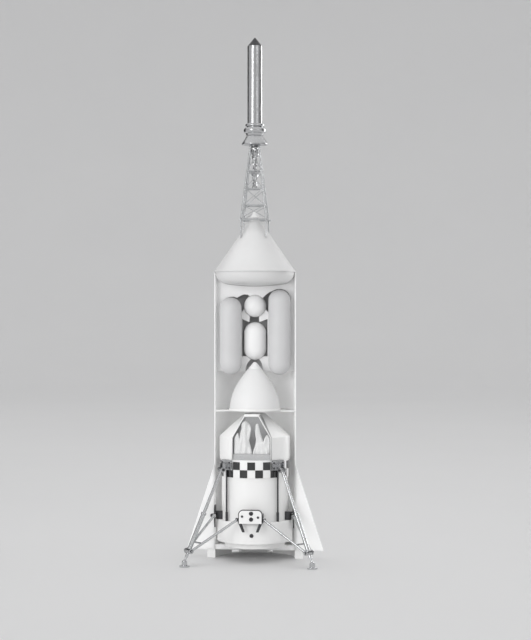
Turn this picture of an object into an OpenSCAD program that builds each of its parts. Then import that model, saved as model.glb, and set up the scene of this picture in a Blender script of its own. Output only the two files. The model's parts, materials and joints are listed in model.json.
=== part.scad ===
// Cutaway display model of a crewed moon rocket, standing on its base ring and two lander feet.
// Origin: on the rocket's axis, at the level of the table. +Z up, the cut face looks towards -Y.

/* [Hull] */
// Outer radius of the cutaway tube
hull_r = 41; // [40.5:0.1:42]
// Wall of the cutaway tube
hull_wall = 1.2; // [1:0.1:1.3]
// Length of the cutaway tube
hull_len = 277.5; // [276:0.5:280]
// Height of the half ring that the tube stands on
base_h = 8.3; // [7:0.1:8.5]
// Width of that half ring, measured across its flat foot
base_w = 8; // [6:0.5:10]
// Thickness of the floor plate inside the tube
floor_t = 5; // [4:0.5:5]
// How far a fin reaches beyond the tube
fin_reach = 27.7; // [20:0.5:32]
// Height of a fin's root
fin_h = 85; // [70:1:95]
// Thickness of a fin
fin_t = 1.6; // [1.2:0.1:2]

/* [Engine and tanks] */
// Height of the deck's upper face above the table
deck_z = 148.1; // [147:0.1:149]
// Thickness of the deck
deck_t = 1.5; // [1:0.1:2]
// Exit radius of the engine bell
bell_r = 25; // [22:0.5:26]
// Height of the engine bell
bell_h = 46; // [44:0.5:46]
// Power of the bell's curve: 2 is a parabola
bell_power = 1.9; // [1.7:0.05:2.2]
// Radius of the two side tanks
side_tank_r = 10.95; // [9:0.05:11]
// Length of the left side tank
left_tank_len = 77.2; // [70:0.1:78]
// Length of the right side tank
right_tank_len = 85; // [78:0.1:86]
// Radius of the round tank
ball_tank_r = 11.1; // [9:0.1:11.2]
// Radius of the pill tank
pill_tank_r = 11.2; // [9:0.1:11.3]
// Length of the pill tank
pill_tank_len = 37.8; // [34:0.1:38]

/* [Capsule] */
// Depth of the heat shield below the capsule's rim
shield_depth = 13.8; // [12:0.1:14]
// Radius of the heat shield's sphere
shield_sphere_r = 185; // [160:5:220]
// Height of the capsule's cone
cone_h = 51.2; // [48:0.1:52]
// Radius of the cone at its top
cone_top_r = 5.5; // [5:0.1:6]

/* [Escape tower] */
// Half the tower's width at its collar
tower_foot_a = 12.5; // [12:0.1:13]
// Half the tower's width under the motor
tower_head_a = 3; // [2.8:0.1:3.2]
// Radius of the tower's legs
leg_tube_r = 0.9; // [0.8:0.05:1]
// Radius of the tower's thin braces
brace_r = 0.4; // [0.35:0.05:0.5]
// Radius of the escape motor's tube
motor_r = 7.45; // [7:0.05:8]
// Length of the escape motor's tube
motor_len = 77.3; // [70:0.5:85]

/* [Lander] */
// Radius of the lander's body
body_r = 33.2; // [32:0.1:33.2]
// Radius of the flared skirt at the foot of the body
skirt_r = 37.5; // [36:0.1:37.6]
// Outer radius of the checkered ring
ring_r = 34.5; // [34.4:0.1:34.6]
// Height of the checkered ring
ring_h = 17.8; // [17:0.1:18]
// Squares around the checkered ring
squares = 28; // [24:4:32]
// Radius of the white shroud over the lander's cabin
shroud_r = 35.2; // [35:0.1:36]
// Radius of the shroud's flat top
shroud_top_r = 10.5; // [9:0.1:11]

/* [Landing legs] */
// Distance of the shock strut's upper pivot from the axis
strut_top_r = 42.4; // [42:0.1:43]
// Height of the shock strut's upper pivot
strut_top_z = 91.2; // [91:0.1:92]
// Distance of the knee from the axis
knee_r = 82.3; // [80:0.1:84]
// Height of the knee
knee_z = 15; // [14:0.1:16]
// Distance of the side frame's hinge line from the axis
frame_r = 37.2; // [37:0.1:37.6]
// Half the distance between the side frame's two eyes
frame_w = 19; // [18.8:0.1:19.2]
// Height of the side frame's hinge line
frame_z = 43.5; // [43:0.1:44]
// Radius of the side frame's rods
side_rod_r = 1.3; // [1.1:0.1:1.4]
// Radius of the shock strut's rod
strut_rod_r = 1.5; // [1.4:0.05:1.5]
// Outer radius of the shock strut's cylinder
strut_cyl_r = 2.1; // [2:0.05:2.3]
// Radius of a foot pad
pad_r = 5; // [4:0.5:6]

/* [Hidden] */
$fn = 72;
eps = 0.02;         // gap between glued faces
gap = 0.3;          // gap between bodies that part
far = 200;          // longer than anything it cuts
left_leg = -135;    // bearing of the left leg
right_leg = -45;    // bearing of the right leg

hull_in_r = hull_r - hull_wall;
ring_in_r = hull_in_r + 0.2;
floor_z = base_h + floor_t;
slot_h = 3.4;
hull_top = base_h + hull_len;

// engine bay
bell_z = deck_z + 2.4;
bell_wall = 1.2;
bell_cut = 0.85;            // share of the curve kept below the throat
throat_r = 6.2;
tank_z = 183.7;
tank_x = 24.5;
tank_y = 1;                 // the side tanks lie in the plane of the cut
deep_y = 9;                 // the ball and the pill lie behind it
deep_x = -0.8;
ball_tank_z = 252.3;
pill_tank_z = 198.2;
web_z = 187;
web_y = 7;
web_t = 6.5;
panel_y = 22;
panel_t = 1.5;

// capsule
rim_z = hull_top + gap;
cone_r = hull_r - 0.5;
shield_r = hull_in_r - 0.4;
shield_mid = shield_sphere_r - shield_depth;
corner_r = (pow(shield_sphere_r, 2) - pow(shield_mid, 2) - pow(shield_r, 2))
         / (2 * (shield_sphere_r - shield_r));
corner_x = shield_r - corner_r;
tangent_r = shield_sphere_r * corner_x / (shield_sphere_r - corner_r);
cone_top = rim_z + cone_h;

// escape tower
collar_z = 338.3;
collar_r = 0.9;
head_z = 420.5;
skirt_z = 413.3;
neck_z = 422.5;
motor_z = 434.4;
rung_z = [387, 369.2, 352.6];

// lander
skirt_z0 = 19;
skirt_top = 40.2;
ring_z = 83.1;
ring_top = ring_z + ring_h;
square_h = 7.75;
square_t = 0.3;
square_a = 360 / squares;
shroud_z = ring_top + 0.1;
shroud_cone_z = 122.8;
shroud_top = 145;
shroud_wall = 1.2;
cabin_y = -32.5;
cabin_back = -10;
cabin_z = ring_top + 0.1;
cabin_wall = 1;
cabin_w = 19.5;
cabin_eave = 122.9;
cabin_top = 144.4;
cabin_top_w = 7.35;

// landing legs, in the plane through the axis at a leg's bearing
strut_len = norm([knee_r - strut_top_r, knee_z - strut_top_z]);
strut_dir = [(knee_r - strut_top_r) / strut_len, 0, (knee_z - strut_top_z) / strut_len];
strut_tilt = acos(-strut_dir[2]);
pin_r = 0.8;
eye_bore = pin_r + 0.08;
eye_r = 1.8;
eye_w = 3;
ear_t = 1.4;
bracket_z = 40;
front_y = -41.6;            // back of the front bracket's plate
side_y = -38.8;             // the same on the side brackets
plate_t = 1;
face_t = 0.9;
knee_w = 2.5;
ball_s = strut_len + 11.2;
pad_h = 1.6;
ball_r = 1.9;
ball_pin_r = 0.7;

// ---- helpers ----

// round rod from a to b
module rod(a, b, r) {
    d = b - a;
    translate(a)
        rotate([0, acos(d[2] / norm(d)), atan2(d[1], d[0])])
            cylinder(h = norm(d), r = r);
}

// box that keeps everything behind the cut face
module rear_half(y = 0) {
    translate([-far, y, -far]) cube([2 * far, far, 4 * far]);
}

// half of a tube, behind the cut face
module half_tube(r_out, r_in, z, h) {
    intersection() {
        translate([0, 0, z]) difference() {
            cylinder(h = h, r = r_out);
            translate([0, 0, -1]) cylinder(h = h + 2, r = r_in);
        }
        rear_half();
    }
}

// tank with round ends, standing on z
module tank(x, y, z, r, len, grow = 0) {
    translate([x, y, z]) {
        translate([0, 0, r]) cylinder(h = len - 2 * r, r = r + grow);
        translate([0, 0, r]) sphere(r = r + grow);
        translate([0, 0, len - r]) sphere(r = r + grow);
    }
}

// points in a leg's own plane are turned to its bearing
module at_leg(bearing) {
    rotate([0, 0, bearing]) children();
}

// along the shock strut: local +Z runs from the upper pivot down to the foot
module along_strut() {
    translate([strut_top_r, 0, strut_top_z])
        rotate([0, 180 - strut_tilt, 0])
            children();
}

// round bar across the leg's plane, centred on it
module cross_bar(r, w, x = 0, z = 0, y = 0) {
    translate([x, y + w / 2, z]) rotate([90, 0, 0]) cylinder(h = w, r = r);
}

// ---- tube, floor and fins ----

module hull() color("whitesmoke")
    half_tube(hull_r, hull_in_r, base_h, hull_len);

// foot of the tube, with two low cable slots at the back
module base_ring() color("whitesmoke") difference() {
    half_tube(ring_in_r + base_w, ring_in_r, 0, base_h);
    for (slot = [[123.5, 12], [72.5, 5.4]])
        rotate([0, 0, slot[0]]) translate([ring_in_r - 5, -slot[1] / 2, -1])
            cube([base_w + 10, slot[1], 1 + slot_h]);
}

module floor_plate() color("whitesmoke") intersection() {
    translate([0, 0, base_h]) cylinder(h = floor_t, r = hull_in_r - eps);
    rear_half();
}

// flat fin on the bearing given, its root against the tube
module fin(bearing, side) {
    rotate([0, 0, bearing]) difference() {
        translate([0, side * fin_t, base_h]) rotate([90, 0, 0])
            linear_extrude(fin_t)
                polygon([[hull_r - 1, 0], [hull_r + fin_reach, 0], [hull_r, fin_h], [hull_r - 1, fin_h]]);
        cylinder(h = far, r = hull_r + eps);
    }
}

module fin_right() color("whitesmoke") fin(0, 1);
module fin_left() color("whitesmoke") fin(180, 0);
module fin_rear() color("whitesmoke") fin(90, 0.5);

// ---- engine bay and tanks ----

module deck() color("whitesmoke") intersection() {
    translate([0, 0, deck_z - deck_t]) cylinder(h = deck_t, r = hull_in_r - eps);
    rear_half();
}

module bell_flange() color("whitesmoke") translate([0, 0, deck_z + eps]) difference() {
    cylinder(h = bell_z - deck_z - 2 * eps, r = bell_r + 0.8);
    translate([0, 0, -1]) cylinder(h = 5, r = bell_r - bell_wall);
}

function bell_at(t) = bell_r * (1 - pow(t, bell_power));

module engine_bell() color("whitesmoke") translate([0, 0, bell_z]) {
    steps = 18;
    outer = [for (i = [0:steps]) let (t = bell_cut * i / steps) [bell_at(t), t * bell_h]];
    inner = [for (i = [steps:-1:0]) let (t = bell_cut * i / steps)
             [max(bell_at(t) - bell_wall, 0.8), t * bell_h]];
    rotate_extrude() polygon(concat(outer, inner));
}

// pointed head on the bell, under the tanks
module bell_throat() color("whitesmoke") translate([0, 0, bell_z + bell_cut * bell_h + eps]) {
    cylinder(h = 1.2, r = throat_r);
    translate([0, 0, 1.2]) cylinder(h = 5.2, r1 = throat_r - 0.6, r2 = 1.4);
}

// outlines of the windows in the web, seen from the front
module web_windows() {
    // round the ball tank
    polygon([[-21, 252], [-21, 259.2], [-15.5, 262.7], [-12.5, 263.9], [-8, 263.8], [-4, 260], [4, 259],
             [7.5, 260.8], [10.5, 263.8], [13.5, 266], [17, 267.4], [17, 250], [12.6, 246], [9.2, 249.8],
             [-11.6, 249.8], [-14, 245.6], [-15.2, 250]]);
    // the neck between them
    translate([-6.3, 235.5]) square([9.8, 16]);
    // round the pill tank
    polygon([[-13.7, 201.8], [-13.7, 239.3], [-7.6, 236.6], [4.6, 236.6], [12, 239.3], [12, 201.8]]);
    // arched notch over the engine bell
    polygon([[-11.5, web_z - 1], [-10, 189], [-9.5, 192], [-8.6, 194.6], [-6.6, 197.3], [-4.6, 199],
             [3.2, 199], [5, 197], [6.2, 194.6], [6.9, 191], [7.3, web_z - 1]]);
    // arch over each side tank's dome
    for (t = [[-tank_x + 0.6, left_tank_len], [tank_x - 0.6, right_tank_len]])
        intersection() {
            translate([t[0], tank_z + t[1] - side_tank_r]) circle(r = side_tank_r + 0.8);
            translate([t[0] - 12, tank_z + t[1] - side_tank_r]) square([24, 12]);
        }
}

// upright plate across the tube, cut out round the tanks
module tank_web() color("white") difference() {
    intersection() {
        translate([-far, web_y, web_z]) cube([2 * far, web_t, rim_z - 5 - web_z]);
        cylinder(h = far * 2, r = hull_in_r - eps);
    }
    translate([0, 0, -0.4]) shield_solid();
    translate([0, web_y + web_t + 1, 0]) rotate([90, 0, 0]) linear_extrude(web_t + 2) web_windows();
    side_tank(-1, left_tank_len, gap);
    side_tank(1, right_tank_len, gap);
    ball(gap);
    pill(gap);
    pegs(1.6);
}

module recess_panel() color("dimgray")
    translate([-32, panel_y, web_z]) cube([64, panel_t, 83]);

module side_tank(side, len, grow = 0) tank(side * tank_x, tank_y, tank_z, side_tank_r, len, grow);
module ball(grow = 0) translate([deep_x, deep_y, ball_tank_z]) sphere(r = ball_tank_r + grow);
module pill(grow = 0) tank(deep_x, deep_y, pill_tank_z, pill_tank_r, pill_tank_len, grow);

module tank_left() color("lightgray") side_tank(-1, left_tank_len);
module tank_right() color("lightgray") side_tank(1, right_tank_len);
module tank_ball() color("white") ball();
module tank_pill() color("white") pill();

// pegs from the recess panel to the back of each tank
module pegs(r)
    for (p = [[-tank_x, 205], [-tank_x, 240], [tank_x, 205], [tank_x, 245],
              [deep_x, ball_tank_z], [deep_x, 217]])
        translate([p[0], deep_y, p[1]]) rotate([-90, 0, 0]) cylinder(h = panel_y - deep_y - eps, r = r);

module tank_pegs() color("dimgray") difference() {
    pegs(1.5);
    side_tank(-1, left_tank_len, eps);
    side_tank(1, right_tank_len, eps);
    ball(eps);
    pill(eps);
}

// ---- capsule ----

module shield_solid() translate([0, 0, rim_z]) {
    intersection() {
        translate([0, 0, shield_mid]) sphere(r = shield_sphere_r);
        translate([0, 0, -shield_depth - 1]) cylinder(h = shield_depth + 1, r = tangent_r);
    }
    rotate_extrude() intersection() {
        translate([corner_x, 0]) circle(r = corner_r);
        translate([corner_x - corner_r / 2, -corner_r]) square([2 * corner_r, corner_r]);
    }
}

module heat_shield() color("white") translate([0, 0, -eps]) shield_solid();

module capsule() color("whitesmoke") translate([0, 0, rim_z]) {
    cylinder(h = 0.8, r = hull_r);
    translate([0, 0, 0.8]) cylinder(h = cone_h - 0.8, r1 = cone_r, r2 = cone_top_r);
    translate([0, 0, cone_h]) cylinder(h = 1.6, r = cone_top_r - 0.7);
}

module docking_cone() color("silver") translate([0, 0, cone_top + 1.6 + eps]) {
    cylinder(h = 1.6, r = 2.6);
    translate([0, 0, 1.6]) cylinder(h = 0.9, r = 4.4);
    translate([0, 0, 2.5]) cylinder(h = 6.5, r1 = 4.4, r2 = 0.3);
}

// ---- escape tower ----

module escape_tip() color("dimgray") translate([0, 0, motor_z + motor_len + eps]) {
    cylinder(h = 8, r1 = motor_r, r2 = 0.9);
    translate([0, 0, 7.6]) sphere(r = 0.95);
}

module escape_motor() color("silver") translate([0, 0, motor_z])
    cylinder(h = motor_len, r = motor_r);

module motor_collar() color("silver") difference() {
    union() {
        translate([0, 0, motor_z - 1.6]) rotate_extrude() translate([motor_r + 0.7, 0]) circle(r = 1.5);
        translate([0, 0, motor_z - 6.8]) rotate_extrude() translate([8, 0]) circle(r = 3.2);
        translate([0, 0, neck_z]) cylinder(h = 5.1, r1 = 8.4, r2 = 10.6);
        translate([0, 0, motor_z - 6.8]) cylinder(h = 6.8 - eps, r = 8.1);
    }
    translate([0, 0, motor_z - eps]) cylinder(h = 10, r = 12);
}

module nozzle_skirt() color("silver") rotate_extrude()
    polygon([[8.2, neck_z - eps], [7.4, neck_z - eps], [12.3, skirt_z], [13.2, skirt_z],
             [13.2, skirt_z + 0.9]]);

module tower_head() color("silver") translate([0, 0, head_z + eps])
    cylinder(h = neck_z - head_z - 2 * eps, r = 7);

function tower_a(z) = tower_foot_a + (tower_head_a - tower_foot_a) * (z - collar_z) / (head_z - collar_z);
function corner(i, z) = let (a = tower_a(z)) [i == 0 || i == 3 ? a : -a, i < 2 ? a : -a, z];

// four legs, the square frames between them and the crossed braces, brazed into one lattice
module tower_frame() color("silver") {
    foot = collar_z + collar_r + eps;
    levels = concat([foot + 0.6], [for (i = [2:-1:0]) rung_z[i]]);
    for (i = [0:3]) {
        j = (i + 1) % 4;
        intersection() {
            rod(corner(i, collar_z), corner(i, head_z + 1), leg_tube_r);
            translate([-far, -far, foot]) cube([2 * far, 2 * far, head_z - foot]);
        }
        for (z = rung_z) rod(corner(i, z), corner(j, z), 0.65);
        for (k = [0:len(levels) - 2]) {
            rod(corner(i, levels[k]), corner(j, levels[k + 1]), brace_r);
            rod(corner(j, levels[k]), corner(i, levels[k + 1]), brace_r);
        }
        rod(corner(i, rung_z[0]), corner(j, 408), brace_r);
    }
}

// square of bars under the lattice, their ends running past the corners
module tower_collar() color("silver") {
    reach = tower_foot_a + 2.2;
    for (side = [-1, 1]) {
        rod([-reach, side * tower_foot_a, collar_z], [reach, side * tower_foot_a, collar_z], collar_r);
        rod([side * tower_foot_a, -reach, collar_z], [side * tower_foot_a, reach, collar_z], collar_r);
    }
}

// stub legs from the collar down to the capsule's cone
module tower_feet() color("silver") difference() {
    for (x = [-1, 1], y = [-1, 1])
        translate([x * tower_foot_a, y * tower_foot_a, collar_z - 30])
            cylinder(h = 30 - collar_r - eps, r = 0.75);
    translate([0, 0, rim_z + 0.8]) cylinder(h = cone_h, r1 = cone_r + 1.2 * gap, r2 = cone_top_r + 1.2 * gap);
}

module tower_thruster() color("silver") rotate_extrude()
    polygon([[0, 376], [0.9, 376], [4.2, 385.6], [4.2, 386.6], [2.5, 387.4], [2.5, 400], [3.2, 402],
             [3.2, 406], [1.6, 408], [1.6, head_z], [0, head_z]]);

// ---- lander ----

module lander_pedestal() color("whitesmoke") translate([0, 0, floor_z + eps])
    cylinder(h = skirt_z0 - floor_z - 2 * eps, r = 30);

module lander_skirt() color("whitesmoke") translate([0, 0, skirt_z0]) {
    cylinder(h = skirt_top - skirt_z0 - 3, r = skirt_r);
    translate([0, 0, skirt_top - skirt_z0 - 3]) cylinder(h = 3 - eps, r1 = skirt_r, r2 = skirt_r - 0.6);
}

module lander_body() color("whitesmoke") translate([0, 0, skirt_top])
    cylinder(h = ring_top - skirt_top, r = body_r);

module checker_ring() color("white") translate([0, 0, ring_z]) difference() {
    cylinder(h = ring_h, r = ring_r);
    translate([0, 0, -1]) cylinder(h = ring_h + 2, r = body_r + eps);
}

// one black square, its middle on the bearing given
module ring_square(bearing, z) {
    margin = 0.1;
    rotate([0, 0, bearing - square_a / 2 + margin]) translate([0, 0, z])
        rotate_extrude(angle = square_a - 2 * margin)
            translate([ring_r + eps, 0]) square([square_t, square_h - 0.05]);
}

module ring_squares() color("black")
    for (i = [0:squares - 1])
        ring_square(-90 + i * square_a, ring_z + 0.4 + (i % 2 == 0 ? square_h : 0));

// front outline of the cabin's window: upright sides, then sloping in to a flat top
module cabin_outline(grow = 0) {
    polygon([[-cabin_w - grow, cabin_z - 1], [cabin_w + grow, cabin_z - 1],
             [cabin_w + grow, cabin_eave + grow / 2], [cabin_top_w + grow, cabin_top + grow],
             [-cabin_top_w - grow, cabin_top + grow], [-cabin_w - grow, cabin_eave + grow / 2]]);
}

// outline pushed back from y0 to y1
module cabin_prism(y0, y1, grow = 0) {
    translate([0, y1, 0]) rotate([90, 0, 0]) linear_extrude(y1 - y0) cabin_outline(grow);
}

module lander_shroud() color("whitesmoke") difference() {
    shroud_form(0);
    shroud_form(shroud_wall);
    cabin_prism(-far, cabin_back + 0.2, 0.15);
}

module shroud_form(inset) {
    translate([0, 0, shroud_z - (inset > 0 ? 1 : 0)])
        cylinder(h = shroud_cone_z - shroud_z + (inset > 0 ? 1 : 0), r = shroud_r - inset);
    translate([0, 0, shroud_cone_z])
        cylinder(h = shroud_top - shroud_cone_z - inset, r1 = shroud_r - inset,
                 r2 = shroud_top_r - inset / 4);
}

module cabin_canopy() color([0.85, 0.9, 0.95, 0.35]) difference() {
    intersection() {
        cabin_prism(cabin_y, cabin_back);
        translate([-far, -far, cabin_z]) cube([2 * far, 2 * far, far]);
    }
    cabin_prism(cabin_y + cabin_wall, cabin_back + 1, -cabin_wall);
}

module cabin_cap() color("white") difference() {
    translate([-cabin_top_w, cabin_y, cabin_top + eps]) cube([2 * cabin_top_w, 20, 1.5]);
    translate([0, cabin_y + 9, cabin_top - 1]) cylinder(h = 4, r = 4);
}

module cabin_floor() color("gray")
    translate([-cabin_w + 1.3, cabin_y + 1.3, cabin_z])
        cube([2 * cabin_w - 2.6, 20, 5.6]);

// upright panel inside the cabin, turned about its own middle
module cabin_panel(points, turn, y) {
    translate([0, y, 0]) rotate([0, 0, turn]) rotate([90, 0, 0])
        linear_extrude(1.6) polygon(points);
}

module cabin_panel_left() color("white") difference() {
    cabin_panel([[-16.8, 107], [-2.2, 107], [-3.8, 116], [-2.4, 127], [-6.2, 137.5], [-9.5, 136],
                 [-12.5, 128], [-16.6, 121]], 8, -24);
    translate([-12.2, 0, 121.5]) rotate([90, 0, 0]) rotate([0, 0, 45]) cylinder(h = far, r = 3.2, $fn = 4);
}

module cabin_panel_right() color("white")
    cabin_panel([[1.2, 107], [16.8, 107], [16.8, 121], [13.4, 127], [11.6, 117], [8.4, 122],
                 [4.6, 136], [3.4, 121]], -8, -24);

// ---- brackets and guide rods ----

// face of the bracket: flat foot, rounded upper corners
module bracket_face(inset) {
    translate([-7, bracket_z]) square([14, 13.6 - inset]);
    translate([-12 + inset, bracket_z]) square([24 - 2 * inset, 8.6]);
    for (x = [-7, 7]) translate([x, bracket_z + 8.6]) circle(r = 5 - inset);
}

// box-shaped bracket on the skirt's rim, carrying an ear for the leg on either side of it
module side_frame_bracket(y0) {
    difference() {
        union() {
            translate([0, y0, 0]) rotate([90, 0, 0]) linear_extrude(plate_t) {
                bracket_face(0);
                for (x = [-1, 1])
                    polygon([[x * 11.6, bracket_z + 0.1], [x * 8, 31.6], [x * 5.4, 31.6],
                             [x * 8.4, bracket_z + 0.1]]);
            }
            difference() {
                translate([-12, y0 - 0.1, skirt_top + eps]) cube([24, 12, 8.4]);
                translate([-10.8, y0 - 2, bracket_z]) cube([21.6, 16, 10]);
            }
            for (bearing = [left_leg, right_leg]) at_leg(bearing) ear_at_front(bearing == left_leg ? 1 : -1);
        }
        translate([0, 0, skirt_top]) cylinder(h = 60, r = body_r + eps);
        cylinder(h = skirt_top + eps, r = skirt_r + eps);
        hinge_pockets();
        for (bearing = [left_leg, right_leg]) at_leg(bearing)
            cross_bar(pin_r + 0.02, 8, frame_r, frame_z,
                      (bearing == left_leg ? 1 : -1) * (frame_w + 1));
    }
}

// room for the side frames' eyes and rods beside the bracket
module hinge_pockets() {
    for (bearing = [left_leg, right_leg]) at_leg(bearing) {
        side = bearing == left_leg ? 1 : -1;
        translate([frame_r - 3, side * frame_w - (eye_w / 2 + gap), frame_z - 3.5])
            cube([12, eye_w + 2 * gap, 6.6]);
        translate([frame_r - 3, side * (frame_w - 3) - 3, frame_z - 5.5]) cube([12, 6, 6.5]);
    }
}

// ear that carries one hinge pin of a side frame, on the outer side of its eye
module ear_at_front(side) {
    y0 = frame_w + eye_w / 2 + gap;
    ear_r = eye_r + 0.2;
    translate([0, side * (y0 + ear_t / 2), 0]) {
        cross_bar(ear_r, ear_t, frame_r, frame_z);
        translate([frame_r - 12, -ear_t / 2, frame_z - ear_r]) cube([12, ear_t, 2 * ear_r]);
    }
}

module front_bracket() color("dimgray") side_frame_bracket(front_y);

// white face plate screwed on the front bracket
module front_plate() color("whitesmoke") difference() {
    translate([0, front_y - plate_t - eps, 0]) rotate([90, 0, 0]) linear_extrude(face_t) bracket_face(0.9);
    hinge_pockets();
}

// the same bracket turned to the side and cut off at the tube's edge
module side_bracket_left() color("dimgray") intersection() {
    rotate([0, 0, -90]) side_frame_bracket(side_y);
    translate([-far, -far, 0]) cube([far, far - 0.6, far]);
}

module side_bracket_right() color("dimgray") intersection() {
    rotate([0, 0, 90]) side_frame_bracket(side_y);
    translate([0, -far, 0]) cube([far, far - 0.6, far]);
}

// domed screw heads on the front bracket
module bracket_screws() color("dimgray") {
    front = front_y - plate_t - face_t - 2 * eps;
    for (s = [[0.8, 49.9, 2.1, front], [0.8, 44.2, 2.1, front], [-8, 47, 1.2, front], [7.6, 46.2, 1.2, front],
              [0.6, 27.4, 2, -skirt_r - eps]])
        translate([s[0], s[3], s[1]]) rotate([90, 0, 0]) difference() {
            cylinder(h = 0.8, r1 = s[2], r2 = 0.85 * s[2]);
            translate([0, 0, 0.4]) cylinder(h = 1, r = 0.45 * s[2], $fn = 6);
        }
}

// block on the checkered ring that carries a shock strut's upper pin between two ears
module strut_bracket() {
    back = ring_r + square_t + 2 * eps;
    difference() {
        union() {
            translate([back, -7.7, 90.8]) cube([2.2, 15.4, 7.2]);
            translate([back, -4.9, 90.8]) cube([2.2, 9.8, 10]);
            for (y = [-4.9, 4.9]) translate([back, y, 98]) rotate([0, 90, 0]) cylinder(h = 2.2, r = 2.8);
            for (y = [-1, 1]) {
                cross_bar(2.6, ear_t, strut_top_r, strut_top_z, y * (1.6 + gap + ear_t / 2));
                translate([back + 1, y * (1.6 + gap + ear_t / 2) - ear_t / 2, strut_top_z - 0.4])
                    cube([strut_top_r - back - 1, ear_t, 7]);
            }
        }
        cross_bar(pin_r + 0.02, 20, strut_top_r, strut_top_z);
        for (y = [-5.6, 5.6], z = [93, 98])
            translate([back + 1.6, y, z]) rotate([0, 90, 0]) cylinder(h = 2, r = 0.9);
    }
}

module strut_bracket_left() color("silver") at_leg(left_leg) strut_bracket();
module strut_bracket_right() color("silver") at_leg(right_leg) strut_bracket();

// upright rods from the strut brackets down to the skirt, each in a socket at its foot
module guide_rods() color("dimgray")
    for (bearing = [left_leg, right_leg]) at_leg(bearing) {
        translate([skirt_r - 1.7, 0, skirt_top + eps]) cylinder(h = 9, r = 1.3);
        translate([skirt_r - 1.7, 0, skirt_top + 8]) cylinder(h = 90.8 - skirt_top - 8 - eps, r = 0.85);
    }

// pins of the hinges that carry the struts and the side frames
module hinge_pins() color("silver")
    for (bearing = [left_leg, right_leg]) at_leg(bearing) {
        cross_bar(pin_r, 7.4, strut_top_r, strut_top_z);
        for (side = [-1, 1])
            cross_bar(pin_r, eye_w + ear_t + gap, frame_r, frame_z, side * (frame_w + (ear_t + gap) / 2));
    }

// ---- landing legs ----

module strut_rod() {
    difference() {
        union() {
            cross_bar(eye_r, 2 * 1.6, strut_top_r, strut_top_z);
            along_strut() cylinder(h = 62, r = strut_rod_r);
        }
        cross_bar(eye_bore, 20, strut_top_r, strut_top_z);
    }
}

module strut_cylinder() {
    difference() {
        union() {
            along_strut() {
                translate([0, 0, 46]) cylinder(h = strut_len - 46, r = strut_cyl_r);
                translate([0, 0, 46]) cylinder(h = 2.2, r = strut_cyl_r + 0.5);
                translate([0, 0, strut_len]) cylinder(h = ball_s - strut_len, r = 1.15);
                translate([0, 0, strut_len]) cylinder(h = ball_s - strut_len - 4.5, r = 1.5);
                translate([0, 0, ball_s]) sphere(r = ball_r);
            }
            cross_bar(knee_w, 2 * knee_w, knee_r, knee_z);
        }
        along_strut() translate([0, 0, 45]) cylinder(h = 25, r = strut_rod_r + 0.08);
        along_strut() cross_bar(ball_pin_r + 0.06, 8, 0, ball_s);
        cross_bar(pin_r + 0.02, 20, knee_r, knee_z);
    }
}

// two rods that meet at the knee, an eye at each far end
module side_frame() {
    drop = (frame_z - knee_z) / (knee_r - frame_r);
    ear_y = knee_w + 0.5 + ear_t / 2;
    for (side = [-1, 1]) {
        difference() {
            union() {
                cross_bar(eye_r, eye_w, frame_r, frame_z, side * frame_w);
                rod([frame_r + 1, side * (frame_w - 0.4), frame_z - drop],
                    [knee_r - 1, side * (ear_y + 0.1), knee_z + drop], side_rod_r);
                cross_bar(2.6, ear_t, knee_r, knee_z, side * ear_y);
            }
            cross_bar(eye_bore, 60, frame_r, frame_z);
            cross_bar(pin_r + 0.7, 30, knee_r, knee_z);
            cross_bar(knee_w + 0.6, 2 * (knee_w + 0.5), knee_r, knee_z);
        }
    }
    bar_r = knee_r - 11;
    bar_w = ear_y + (frame_w - ear_y) * 11 / (knee_r - frame_r);
    cross_bar(0.9, 2 * bar_w, bar_r, knee_z + 11 * drop);
}

// pad with a socket round the strut's ball, and the pin that the ball tilts on
module foot_pad() {
    ball = [knee_r, 0, knee_z] + strut_dir * (ball_s - strut_len);
    difference() {
        translate([ball[0], 0, 0]) {
            cylinder(h = pad_h, r = pad_r);
            cylinder(h = ball[2] + 0.2, r = 2.7);
        }
        translate(ball) sphere(r = ball_r + 0.08);
    }
    cross_bar(ball_pin_r, 5.8, ball[0], ball[2]);
}

module strut_rod_left() color("silver") at_leg(left_leg) strut_rod();
module strut_rod_right() color("silver") at_leg(right_leg) strut_rod();
module strut_cylinder_left() color("silver") at_leg(left_leg) strut_cylinder();
module strut_cylinder_right() color("silver") at_leg(right_leg) strut_cylinder();
module side_frame_left() color("silver") at_leg(left_leg) side_frame();
module side_frame_right() color("silver") at_leg(right_leg) side_frame();
module foot_pad_left() color("silver") at_leg(left_leg) foot_pad();
module foot_pad_right() color("silver") at_leg(right_leg) foot_pad();
module knee_pin_left() color("silver") at_leg(left_leg) cross_bar(pin_r, 10.4, knee_r, knee_z);
module knee_pin_right() color("silver") at_leg(right_leg) cross_bar(pin_r, 10.4, knee_r, knee_z);

hull();
base_ring();
floor_plate();
fin_left();
fin_right();
fin_rear();
deck();
bell_flange();
engine_bell();
bell_throat();
tank_web();
recess_panel();
tank_left();
tank_right();
tank_ball();
tank_pill();
tank_pegs();
capsule();
heat_shield();
docking_cone();
escape_tip();
escape_motor();
motor_collar();
nozzle_skirt();
tower_head();
tower_frame();
tower_collar();
tower_feet();
tower_thruster();
lander_pedestal();
lander_skirt();
lander_body();
checker_ring();
ring_squares();
lander_shroud();
cabin_canopy();
cabin_cap();
cabin_floor();
cabin_panel_left();
cabin_panel_right();
front_bracket();
front_plate();
side_bracket_left();
side_bracket_right();
bracket_screws();
strut_bracket_left();
strut_bracket_right();
guide_rods();
hinge_pins();
strut_rod_left();
strut_cylinder_left();
side_frame_left();
foot_pad_left();
knee_pin_left();
strut_rod_right();
strut_cylinder_right();
side_frame_right();
foot_pad_right();
knee_pin_right();
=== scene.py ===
import json
import math

import bmesh
import bpy
from mathutils import Matrix, Vector
from mathutils.noise import noise_vector

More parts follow.
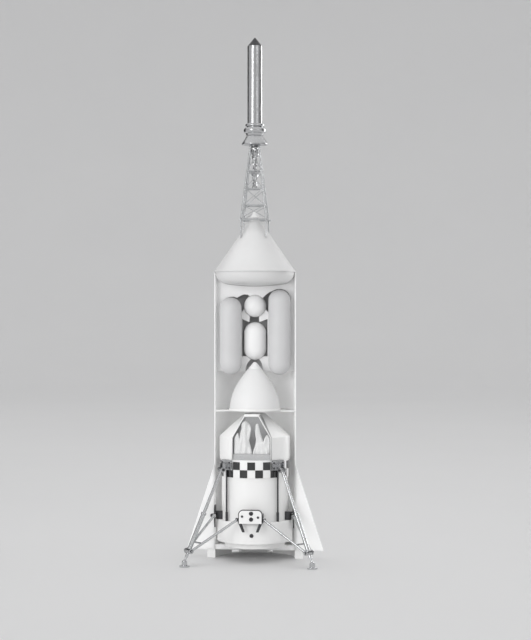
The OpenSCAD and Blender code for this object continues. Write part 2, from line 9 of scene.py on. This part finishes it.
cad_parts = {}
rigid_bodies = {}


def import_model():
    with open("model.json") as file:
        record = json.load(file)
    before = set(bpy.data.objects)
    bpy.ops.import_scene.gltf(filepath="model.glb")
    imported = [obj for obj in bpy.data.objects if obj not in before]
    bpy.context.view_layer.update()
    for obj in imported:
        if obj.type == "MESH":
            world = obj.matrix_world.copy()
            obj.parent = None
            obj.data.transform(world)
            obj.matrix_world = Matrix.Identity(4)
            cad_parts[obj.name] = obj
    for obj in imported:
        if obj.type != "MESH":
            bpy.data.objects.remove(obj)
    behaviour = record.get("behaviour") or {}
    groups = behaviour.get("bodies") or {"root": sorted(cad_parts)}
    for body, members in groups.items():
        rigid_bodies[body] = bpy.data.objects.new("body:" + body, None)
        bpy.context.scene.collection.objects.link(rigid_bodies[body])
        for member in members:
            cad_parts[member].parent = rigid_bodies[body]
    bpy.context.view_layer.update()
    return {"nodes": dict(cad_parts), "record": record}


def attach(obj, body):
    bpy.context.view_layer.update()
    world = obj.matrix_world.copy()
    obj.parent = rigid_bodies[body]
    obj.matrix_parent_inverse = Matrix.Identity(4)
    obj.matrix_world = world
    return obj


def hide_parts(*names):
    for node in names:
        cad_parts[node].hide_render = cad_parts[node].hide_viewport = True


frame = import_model()
nodes = frame["nodes"]

MM = 0.001
Z_TO_X = Matrix.Rotation(math.radians(90), 4, "Y")  # lays a lathed form's axis along X


# ---- materials ----

# noise scales, in cells a metre
CLOUD, PEEL, GRAIN = 28, 420, 2600
WORKED_LINES, SMUDGE = 900, 60
HAZE, RIPPLE = 90, 240
PAPER_TONE, PAPER_GRAIN = 3, 700
# how deep the bumps are, in metres
PEEL_DEPTH, GRAIN_DEPTH, LINE_DEPTH = 0.00006, 0.00001, 0.00002
RIPPLE_DEPTH, PAPER_DEPTH = 0.00005, 0.0001
PAINT_IOR, ACRYLIC_IOR = 1.48, 1.49


def new_material(name):
    m = bpy.data.materials.new(name)
    m.use_nodes = True
    t = m.node_tree
    return m, t, t.nodes["Principled BSDF"]


def coords(t, scale=(1, 1, 1)):
    """Object coordinates, in metres, stretched by scale."""
    c = t.nodes.new("ShaderNodeTexCoord")
    mp = t.nodes.new("ShaderNodeMapping")
    mp.inputs["Scale"].default_value = scale
    t.links.new(c.outputs["Object"], mp.inputs["Vector"])
    return mp.outputs["Vector"]


def noise(t, vec, scale, detail=4.0, rough=0.55):
    n = t.nodes.new("ShaderNodeTexNoise")
    n.inputs["Scale"].default_value = scale
    n.inputs["Detail"].default_value = detail
    n.inputs["Roughness"].default_value = rough
    t.links.new(vec, n.inputs["Vector"])
    return n.outputs["Fac"]


def remap(t, value, lo, hi, out_lo, out_hi):
    r = t.nodes.new("ShaderNodeMapRange")
    r.inputs["From Min"].default_value = lo
    r.inputs["From Max"].default_value = hi
    r.inputs["To Min"].default_value = out_lo
    r.inputs["To Max"].default_value = out_hi
    t.links.new(value, r.inputs["Value"])
    return r.outputs["Result"]


def mix_color(t, fac, a, b):
    """Colour a where fac is 0, b where it is 1."""
    m = t.nodes.new("ShaderNodeMix")
    m.data_type = "RGBA"
    m.inputs[6].default_value = (*a, 1)
    m.inputs[7].default_value = (*b, 1)
    t.links.new(fac, m.inputs["Factor"])
    return m.outputs[2]


def bump(t, heights, target):
    """heights: list of (value, strength, depth), chained into one normal."""
    last = None
    for value, strength, depth in heights:
        b = t.nodes.new("ShaderNodeBump")
        b.inputs["Strength"].default_value = strength
        b.inputs["Distance"].default_value = depth
        t.links.new(value, b.inputs["Height"])
        if last:
            t.links.new(last, b.inputs["Normal"])
        last = b.outputs["Normal"]
    t.links.new(last, target)


def lacquer(name, color, rough=0.28, coat=0.5, dust=0.03, peel=0.1, glow=0.0):
    """Sprayed lacquer on plastic: faint orange peel, uneven gloss, a little dust toning.

    glow is how far light spreads inside it, in metres."""
    m, t, p = new_material(name)
    v = coords(t)
    cloud = noise(t, v, CLOUD, 3)
    fine = noise(t, v, PEEL, 5, 0.6)
    grain = noise(t, v, GRAIN, 2)
    darker = tuple(c * (1 - dust) for c in color)
    base = mix_color(t, remap(t, cloud, 0.35, 0.7, 0, 1), color, darker)
    t.links.new(base, p.inputs["Base Color"])
    t.links.new(remap(t, fine, 0.3, 0.7, rough * 0.8, rough * 1.3), p.inputs["Roughness"])
    bump(t, [(fine, peel, PEEL_DEPTH), (grain, peel * 0.6, GRAIN_DEPTH)], p.inputs["Normal"])
    p.inputs["Coat Weight"].default_value = coat
    p.inputs["Coat Roughness"].default_value = 0.12
    p.inputs["IOR"].default_value = PAINT_IOR
    if glow:
        p.inputs["Subsurface Weight"].default_value = 1.0
        p.inputs["Subsurface Radius"].default_value = (1, 1, 1)
        p.inputs["Subsurface Scale"].default_value = glow
    return m


def metal(name, color, rough=0.2, stretch=(1, 1, 1), scratch=0.25, tint=0.12):
    """Turned or drawn metal: fine lines along the way it was worked, smudged gloss."""
    m, t, p = new_material(name)
    lines = noise(t, coords(t, stretch), WORKED_LINES, 6, 0.65)
    smudge = noise(t, coords(t), SMUDGE, 4)
    darker = tuple(c * (1 - tint) for c in color)
    base = mix_color(t, remap(t, smudge, 0.35, 0.7, 0, 1), color, darker)
    t.links.new(base, p.inputs["Base Color"])
    p.inputs["Metallic"].default_value = 1.0
    a = t.nodes.new("ShaderNodeMath")
    a.operation = "ADD"
    t.links.new(remap(t, lines, 0.3, 0.7, rough * 0.6, rough * 1.2), a.inputs[0])
    t.links.new(remap(t, smudge, 0.4, 0.75, 0, rough * 0.5), a.inputs[1])
    t.links.new(a.outputs["Value"], p.inputs["Roughness"])
    bump(t, [(lines, scratch, LINE_DEPTH)], p.inputs["Normal"])
    return m


def clear_plastic(name):
    """Thin clear moulding: see-through face on, more mirror-like along its edges, slightly hazed."""
    m, t, p = new_material(name)
    v = coords(t)
    haze = noise(t, v, HAZE, 4)
    facing = t.nodes.new("ShaderNodeLayerWeight")
    facing.inputs["Blend"].default_value = 0.35
    a = t.nodes.new("ShaderNodeMath")
    a.operation = "ADD"
    t.links.new(remap(t, facing.outputs["Facing"], 0.0, 1.0, 0.03, 0.5), a.inputs[0])
    t.links.new(remap(t, haze, 0.4, 0.8, 0.0, 0.03), a.inputs[1])
    t.links.new(a.outputs["Value"], p.inputs["Alpha"])
    t.links.new(mix_color(t, haze, (0.84, 0.87, 0.89), (0.93, 0.94, 0.95)), p.inputs["Base Color"])
    t.links.new(remap(t, haze, 0.3, 0.8, 0.03, 0.12), p.inputs["Roughness"])
    p.inputs["IOR"].default_value = ACRYLIC_IOR
    p.inputs["Coat Weight"].default_value = 1.0
    p.inputs["Coat Roughness"].default_value = 0.03
    bump(t, [(noise(t, v, RIPPLE, 3), 0.06, RIPPLE_DEPTH)], p.inputs["Normal"])
    return m


WHITE = (0.84, 0.84, 0.835)
NO_STRETCH = (1, 1, 1)
FOIL = metal("crumpled_foil", (0.6, 0.605, 0.61), 0.22, NO_STRETCH, 0.6)
FOLDS = lacquer("folded_white_sheet", (0.86, 0.86, 0.855), 0.5, 0.1, 0.06, 0.4)
CABIN_GRAY = lacquer("cabin_grey_moulding", (0.52, 0.52, 0.525), 0.45, 0.1, 0.1, 0.2)
MATERIALS = {
    "white_gloss": lacquer("white_lacquer", WHITE, 0.42, 0.15),
    "white_satin": lacquer("white_satin_paint", (0.84, 0.84, 0.84), 0.48, 0.05),
    "tank_gray": lacquer("tank_grey_paint", (0.6, 0.6, 0.605), 0.45, 0.05, 0.05),
    "shield_gray": lacquer("shield_grey_paint", (0.7, 0.7, 0.7), 0.45, 0.05, 0.04),
    "cabin_gray": CABIN_GRAY,
    # painted shade: the deep recess panel's grey stands in for the shade inside the recess
    "dark_gray": lacquer("recess_painted_shade_grey", (0.56, 0.56, 0.565), 0.6, 0.0, 0.12, 0.3),
    "black_gloss": lacquer("black_lacquer", (0.012, 0.012, 0.013), 0.12, 1.0, 0.2, 0.04),
    "dark_tip": metal("tip_dark_metal", (0.1, 0.1, 0.105), 0.3, (1, 1, 14)),
    "silver_metal": metal("satin_aluminium", (0.62, 0.625, 0.635), 0.24, (1, 1, 16), 0.2),
    "tower_steel": metal("bright_wire", (0.62, 0.63, 0.64), 0.28),
    "dark_steel": metal("dark_bracket_metal", (0.09, 0.09, 0.095), 0.36),
    "chrome": metal("polished_chrome", (0.62, 0.63, 0.64), 0.16, NO_STRETCH, 0.12, 0.05),
    "clear_canopy": clear_plastic("clear_canopy_plastic"),
}

slot_of = {s["node"]: s["material_slot"] for s in frame["record"]["subparts"]}
EDGE_ROUND = 0.2 * MM
ROUND_FROM = math.radians(32)  # edges flatter than this stay as they are
WELD_GAP = 0.002 * MM
CRISP_SLOTS = ("black_gloss", "clear_canopy")  # thin insets and the window keep their edges


def soften(obj):
    """Rounds a CAD node's sharp edges for show, without touching its own mesh."""
    w = obj.modifiers.new("weld", "WELD")
    w.merge_threshold = WELD_GAP
    b = obj.modifiers.new("edge_round", "BEVEL")
    b.width = EDGE_ROUND
    b.segments = 2
    b.limit_method = "ANGLE"
    b.angle_limit = ROUND_FROM
    b.use_clamp_overlap = True
    n = obj.modifiers.new("shade", "WEIGHTED_NORMAL")
    n.weight = 50
    for poly in obj.data.polygons:
        poly.use_smooth = True


for name, obj in nodes.items():
    obj.data.materials.clear()
    obj.data.materials.append(MATERIALS[slot_of[name]])
    if slot_of[name] not in CRISP_SLOTS:
        soften(obj)

# the tube's thin white wall lets some light through; its white is also brighter than the rest, which
# is painted light filling the deep bays
SHELL_PAINTED_LIGHT = lacquer("white_shell_painted_light", (0.93, 0.93, 0.925), 0.42, 0.15, glow=0.003)
for name in ("hull", "deck", "floor_plate", "fin_left", "fin_right", "fin_rear"):
    nodes[name].data.materials[0] = SHELL_PAINTED_LIGHT
# painted shade: the capsule is white, given a darker grey here to stand in for the shade on it
CAPSULE_PAINTED_SHADE = lacquer("capsule_painted_shade_grey", (0.64, 0.64, 0.64), 0.42, 0.1, 0.05)
nodes["capsule"].data.materials[0] = CAPSULE_PAINTED_SHADE
# painted shade: the bell's white is made darker than the rest, standing in for the shade on it
BELL_PAINTED_SHADE = lacquer("bell_painted_shade_white", (0.76, 0.76, 0.76), 0.45, 0.05, 0.04)
nodes["engine_bell"].data.materials[0] = BELL_PAINTED_SHADE


# ---- pieces made here ----

def add_piece(name, bm, material, body, stands_for=(), smooth=True):
    """A finished mesh as a piece that rides on a body, in place of the CAD nodes it stands for."""
    mesh = bpy.data.meshes.new(name)
    bmesh.ops.recalc_face_normals(bm, faces=bm.faces)
    bm.to_mesh(mesh)
    bm.free()
    for poly in mesh.polygons:
        poly.use_smooth = smooth
    mesh.materials.append(material)
    obj = bpy.data.objects.new(name, mesh)
    bpy.context.scene.collection.objects.link(obj)
    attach(obj, body)
    if stands_for:
        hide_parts(*stands_for)
    return obj


def skin(bm, rings):
    """Side faces between rings of equal length."""
    for low, high in zip(rings, rings[1:]):
        for k in range(len(low)):
            n = (k + 1) % len(low)
            bm.faces.new((low[k], low[n], high[n], high[k]))


def slab(outline, y_front, y_back):
    """Upright plate: an outline of (x, z) points between two values of y, all in mm."""
    bm = bmesh.new()
    front = [bm.verts.new((x * MM, y_front * MM, z * MM)) for x, z in outline]
    back = [bm.verts.new((x * MM, y_back * MM, z * MM)) for x, z in outline]
    bm.faces.new(front)
    bm.faces.new(list(reversed(back)))
    for i in range(len(outline)):
        n = (i + 1) % len(outline)
        bm.faces.new((front[n], front[i], back[i], back[n]))
    return bm


def lathe(bm, profile, steps, place=Matrix(), shape=None):
    """Closed form of revolution from (radius, z) points in mm; shape may push each point about."""
    rings = []
    for i, (r, z) in enumerate(profile):
        ring = []
        for k in range(steps):
            a = 2 * math.pi * k / steps
            point = Vector((r * math.cos(a), r * math.sin(a), z))
            if shape:
                point = shape(point, i, k)
            ring.append(bm.verts.new(place @ (point * MM)))
        rings.append(ring)
    skin(bm, rings)
    bm.faces.new(rings[0])
    bm.faces.new(rings[-1])


def turned(bearing):
    """A turn about the upright axis, in degrees."""
    return Matrix.Rotation(math.radians(bearing), 4, "Z")


def at_leg(bearing, x, y, z):
    """A point in mm of a leg's own plane, turned to its bearing, in metres."""
    return turned(bearing) @ (Vector((x, y, z)) * MM)


LEG_BEARINGS = (-135, -45)

# crumpled foil round the small motor inside the tower
FOIL_STEPS = 18
FOIL_PROFILE = [(0.3, 369.6), (2.7, 370.2), (2.1, 373), (1.5, 376.5), (2.2, 379.5), (3.3, 382.5),
                (3.9, 384.6), (3.0, 386.4), (2.0, 388.2), (2.0, 391), (2.2, 394), (2.0, 397),
                (2.3, 400), (3.2, 401.6), (3.5, 404), (3.9, 406.5), (3.3, 408.8), (3.6, 411),
                (2.6, 413), (0.3, 413.6)]


def crumple(point, ring, step):
    """Moves a point of the foil by broad and fine noise, and every seventh one outwards."""
    broad, sharp = 0.75, 0.4
    n = noise_vector(point * 0.55) * broad + noise_vector(point * 1.4 + Vector((7, 3, 5))) * sharp
    spike = 0.35 if (ring * 5 + step * 3) % 7 == 0 else 0.0
    out = Vector((point.x, point.y, 0))
    return point + n + (out.normalized() * spike if out.length > 0.5 else Vector())


bm = bmesh.new()
fine_profile = []
for (r0, z0), (r1, z1) in zip(FOIL_PROFILE, FOIL_PROFILE[1:]):
    for part in (0, 0.5):
        fine_profile.append((r0 + (r1 - r0) * part, z0 + (z1 - z0) * part))
fine_profile.append(FOIL_PROFILE[-1])
lathe(bm, fine_profile, FOIL_STEPS, shape=crumple)
add_piece("thruster_foil", bm, FOIL, "escape_tower", ["tower_thruster"], smooth=False)

# brazing beads where the tower's bars meet
COLLAR_Z, HEAD_Z, FOOT_A, HEAD_A = 338.3, 420.5, 12.5, 3.0
BEAD_LEVELS = (COLLAR_Z + 0.4, 352.6, 369.2, 387)
BEAD_R, BEAD_ROUGH, BEAD_NOISE, BEAD_STRETCH = 1.22, 0.16, 900, 1.25


def tower_a(z):
    """Half the tower's width at height z."""
    return FOOT_A + (HEAD_A - FOOT_A) * (z - COLLAR_Z) / (HEAD_Z - COLLAR_Z)


bm = bmesh.new()
for z in BEAD_LEVELS:
    a = tower_a(z)
    for sx, sy in ((1, 1), (-1, 1), (-1, -1), (1, -1)):
        lump = bmesh.ops.create_icosphere(bm, subdivisions=3, radius=BEAD_R * MM)["verts"]
        for v in lump:
            v.co += noise_vector(v.co * BEAD_NOISE + Vector((sx, sy, z))) * BEAD_ROUGH * MM
            v.co.z *= BEAD_STRETCH
            v.co += Vector((sx * a, sy * a, z)) * MM
add_piece("tower_beads", bm, MATERIALS["tower_steel"], "escape_tower")

# bolts and nuts of the strut brackets
BOLT_PROFILE = [(0.02, -0.5), (0.86, -0.5), (0.86, 0.15), (0.72, 0.5), (0.42, 0.66), (0.4, 0.35),
                (0.02, 0.35)]
NUT_PROFILE = [(0.02, 0), (1.35, 0), (1.45, 0.15), (1.45, 0.6), (1.3, 0.75), (0.75, 0.75), (0.7, 1.0),
               (0.02, 1.05)]
BRACKET_FACE, BOLT_Y, BOLT_LEVELS = 37.05, 5.6, (93, 98)
PIN_X, PIN_Z, NUT_Y = 42.4, 91.2, 3.35
BOLT_STEPS, NUT_SIDES = 20, 6
bm = bmesh.new()
for bearing in LEG_BEARINGS:
    face = turned(bearing) @ Z_TO_X
    for y in (-BOLT_Y, BOLT_Y):
        for z in BOLT_LEVELS:
            spot = Matrix.Translation(at_leg(bearing, BRACKET_FACE, y, z)) @ face
            lathe(bm, BOLT_PROFILE, BOLT_STEPS, spot)
    for side in (-1, 1):
        turn = turned(bearing) @ Matrix.Rotation(math.radians(-90 * side), 4, "X")
        spot = Matrix.Translation(at_leg(bearing, PIN_X, side * NUT_Y, PIN_Z)) @ turn
        lathe(bm, NUT_PROFILE, NUT_SIDES, spot)
add_piece("bracket_bolts", bm, MATERIALS["dark_steel"], "rocket", smooth=False)

# rim round the cabin's window
RIM_PATH = [(-19.1, 101.6), (-19.1, 122.7), (-7.1, 144), (7.1, 144), (19.1, 122.7), (19.1, 101.6)]
RIM_Y, RIM_R = -32.3, 0.5


def tube(bm, path, radius, sides=10):
    """Round bar along points in mm, mitred at each bend."""
    rings = []
    for i, p in enumerate(path):
        before = (p - path[i - 1]).normalized() if i else (path[1] - p).normalized()
        after = (path[i + 1] - p).normalized() if i < len(path) - 1 else before
        along = (before + after).normalized()
        stretch = 1 / max(0.4, along.dot(after))
        across = along.cross(Vector((0, 1, 0))).normalized()
        ring = []
        for k in range(sides):
            a = 2 * math.pi * k / sides
            ring.append(bm.verts.new((p + across * math.cos(a) * radius * stretch
                                      + Vector((0, math.sin(a) * radius, 0))) * MM))
        rings.append(ring)
    skin(bm, rings)
    bm.faces.new(rings[0])
    bm.faces.new(rings[-1])


bm = bmesh.new()
tube(bm, [Vector((x, RIM_Y, z)) for x, z in RIM_PATH], RIM_R)
add_piece("window_rim", bm, MATERIALS["white_gloss"], "rocket")

# folded white forms behind the cabin's window
FORM_LEFT = [(-17.2, 106.9), (-0.7, 106.9), (-1.6, 112), (-3.6, 119), (-2.4, 126), (-1.6, 131),
             (-2.7, 135), (-5.4, 138.4), (-8.2, 138), (-10, 135.6), (-10, 130.6), (-11.4, 127),
             (-12, 120), (-13.2, 121.5), (-14.4, 126.6), (-16.9, 122)]
FORM_RIGHT = [(1, 106.9), (17.2, 106.9), (17.2, 121.5), (14.9, 125), (13, 122), (11.4, 116.6),
              (9.6, 121), (7.2, 128), (5.4, 136), (4.2, 135.4), (3.6, 129), (4.4, 121), (3.4, 114)]
FORM_Y, FORM_TURN, FORM_HALF = -25, 6, 1.7
FORM_VOXEL, FORM_SWELL = 0.45, 0.6
FOLD_DEPTH, CREASE_DEPTH = 1.9, 0.7


def folded_form(name, outline, turn, node):
    """A flat outline made into a rounded, upright folded sheet, standing in for a CAD panel."""
    bm = slab(outline, -FORM_HALF, FORM_HALF)
    obj = add_piece(name, bm, FOLDS, "rocket", [node])
    voxels = obj.modifiers.new("voxels", "REMESH")
    voxels.mode = "VOXEL"
    voxels.voxel_size = FORM_VOXEL * MM
    ease = obj.modifiers.new("ease", "SMOOTH")
    ease.factor, ease.iterations = 0.6, 8
    swell = obj.modifiers.new("swell", "DISPLACE")
    swell.strength, swell.mid_level = FORM_SWELL * MM, 0
    graph = bpy.context.evaluated_depsgraph_get()
    mesh = bpy.data.meshes.new_from_object(obj.evaluated_get(graph))
    obj.modifiers.clear()
    obj.data = mesh
    place = Matrix.Translation((0, FORM_Y * MM, 0)) @ turned(turn)
    for v in mesh.vertices:
        p = v.co / MM
        fold = noise_vector(Vector((p.x * 0.34, 0, p.z * 0.1))).y * FOLD_DEPTH
        slant = Vector((p.x * 0.3 + p.z * 0.13, 4, p.z * 0.16))
        crease = CREASE_DEPTH * abs(noise_vector(slant).x)
        v.co = place @ ((p + Vector((0, fold + crease, 0))) * MM)
    for poly in mesh.polygons:
        poly.use_smooth = True


# light grey wall behind them
BACK_WALL = [(-18.2, 101.4), (18.2, 101.4), (18.2, 122.6), (6.6, 143.2), (-6.6, 143.2), (-18.2, 122.6)]
WALL_FRONT, WALL_BACK, WALL_BEVEL = -11.6, -10.8, 0.15
bm = slab(BACK_WALL, WALL_FRONT, WALL_BACK)
bmesh.ops.bevel(bm, geom=bm.edges[:], offset=WALL_BEVEL * MM, segments=2, affect="EDGES")
add_piece("cabin_back_wall", bm, CABIN_GRAY, "rocket", smooth=False)

folded_form("cabin_form_left", FORM_LEFT, FORM_TURN, "cabin_panel_left")
folded_form("cabin_form_right", FORM_RIGHT, -FORM_TURN, "cabin_panel_right")


# ---- floor and backdrop: one pale bowl all round, in metres ----

FLOOR_R, CURVE_R, WALL_H = 3.2, 1.6, 3.4
BOWL_STEPS, CURVE_STEPS = 96, 12
BOWL_DROP = 0.00002  # keeps the floor just under the feet


def stage_mesh(name, bm):
    """A mesh of the set: floor, backdrop or card."""
    mesh = bpy.data.meshes.new(name)
    bm.to_mesh(mesh)
    bm.free()
    obj = bpy.data.objects.new(name, mesh)
    bpy.context.scene.collection.objects.link(obj)
    return obj


profile = [(0.001, 0.0), (1.0, 0.0), (FLOOR_R, 0.0)]
for k in range(1, CURVE_STEPS + 1):
    a = math.radians(90 / CURVE_STEPS * k)
    profile.append((FLOOR_R + CURVE_R * math.sin(a), CURVE_R * (1 - math.cos(a))))
profile.append((FLOOR_R + CURVE_R, WALL_H))
bm = bmesh.new()
rings = []
for r, z in profile:
    angles = [2 * math.pi * i / BOWL_STEPS for i in range(BOWL_STEPS)]
    rings.append([bm.verts.new((r * math.cos(a), r * math.sin(a), z)) for a in angles])
skin(bm, rings)
bowl = stage_mesh("studio_floor", bm)
for poly in bowl.data.polygons:
    poly.use_smooth = True
bowl.location.z = -BOWL_DROP
m, t, p = new_material("studio_paper")
v = coords(t)
base = mix_color(t, noise(t, v, PAPER_TONE, 3), (0.78, 0.78, 0.785), (0.81, 0.81, 0.812))
t.links.new(base, p.inputs["Base Color"])
p.inputs["Roughness"].default_value = 0.55
bump(t, [(noise(t, v, PAPER_GRAIN, 4), 0.05, PAPER_DEPTH)], p.inputs["Normal"])
bowl.data.materials.append(m)


# ---- camera and light ----

CAM_YAW, CAM_DISTANCE, CAM_ASIDE, CAM_HEIGHT = math.radians(5.7), 1.6, 0.0106, 0.2463
CAM_DIP = 0.005  # radians below level
LENS, SENSOR = 90, 36

scene = bpy.context.scene
cam_data = bpy.data.cameras.new("camera")
cam_data.lens = LENS
cam_data.sensor_width = SENSOR
cam = bpy.data.objects.new("camera", cam_data)
scene.collection.objects.link(cam)
to_right = Vector((math.cos(CAM_YAW), math.sin(CAM_YAW), 0))
to_viewer = Vector((math.sin(CAM_YAW), -math.cos(CAM_YAW), 0))
cam.location = to_right * CAM_ASIDE + to_viewer * CAM_DISTANCE + Vector((0, 0, CAM_HEIGHT))
look = -to_viewer + Vector((0, 0, -math.tan(CAM_DIP)))
cam.rotation_euler = look.to_track_quat("-Z", "Y").to_euler()
scene.camera = cam

AIM = Vector((0, 0, 0.24))
CARD_FOOT, CARD_TOP = 0.02, 1.1
WORLD_LIGHT = 0.8
# the tube's deep white bays need many bounces to fill with light
DIFFUSE_BOUNCES, ALL_BOUNCES = 12, 16

# most soft boxes light the model but not the floor, so they leave no bright patches on it
LIT_MODEL = bpy.data.collections.new("lit_model")
for obj in scene.objects:
    if obj.type == "MESH" and obj != bowl:
        LIT_MODEL.objects.link(obj)


def area_light(name, location, width, height, power, mirrored=True, on_floor=False):
    """Soft box aimed at the model. One that isn't mirrored doesn't show in the metal."""
    d = bpy.data.lights.new(name, "AREA")
    d.shape = "RECTANGLE"
    d.size, d.size_y = width, height
    d.energy = power
    o = bpy.data.objects.new(name, d)
    o.location = location
    o.rotation_euler = (AIM - Vector(location)).to_track_quat("-Z", "Y").to_euler()
    o.visible_camera = False
    o.visible_glossy = mirrored
    scene.collection.objects.link(o)
    if not on_floor:
        o.light_linking.receiver_collection = LIT_MODEL


def black_card(name, corner_a, corner_b):
    """Upright black card: only the metal's reflections see it, and get their dark edges from it."""
    (xa, ya), (xb, yb) = corner_a, corner_b
    corners = ((xa, ya, CARD_FOOT), (xb, yb, CARD_FOOT), (xb, yb, CARD_TOP), (xa, ya, CARD_TOP))
    bm = bmesh.new()
    bm.faces.new([bm.verts.new(c) for c in corners])
    o = stage_mesh(name, bm)
    m, t, p = new_material(name)
    p.inputs["Base Color"].default_value = (0.004, 0.004, 0.004, 1)
    p.inputs["Roughness"].default_value = 1
    o.data.materials.append(m)
    o.visible_camera = o.visible_diffuse = o.visible_shadow = o.visible_transmission = False


area_light("key", (-1.0, -1.7, 0.55), 0.45, 1.3, 9)
area_light("side_left", (-1.35, -1.15, 0.3), 1.1, 1.4, 11.8, mirrored=False)
area_light("side_right", (1.35, -1.15, 0.3), 1.1, 1.4, 4.8, mirrored=False)
area_light("front", (-0.1, -1.9, 0.3), 1.2, 1.4, 3.2, mirrored=False)
area_light("strip_right", (1.25, -1.5, 0.4), 0.2, 1.2, 1.5)
area_light("rim_right", (1.15, 1.05, 0.45), 0.4, 1.4, 10)
area_light("top", (0, -0.2, 2.2), 1.4, 1.4, 9, mirrored=False, on_floor=True)
black_card("card_left", (-0.95, 0.25), (-0.75, 1.2))
black_card("card_right", (0.95, -0.1), (0.95, 0.4))

world = bpy.data.worlds.new("studio")
world.use_nodes = True
sky = world.node_tree.nodes["Background"]
sky.inputs["Color"].default_value = (1, 1, 1, 1)
sky.inputs["Strength"].default_value = WORLD_LIGHT
scene.world = world
scene.cycles.diffuse_bounces = DIFFUSE_BOUNCES
scene.cycles.max_bounces = ALL_BOUNCES
scene.view_settings.view_transform = "Standard"
scene.view_settings.look = "None"
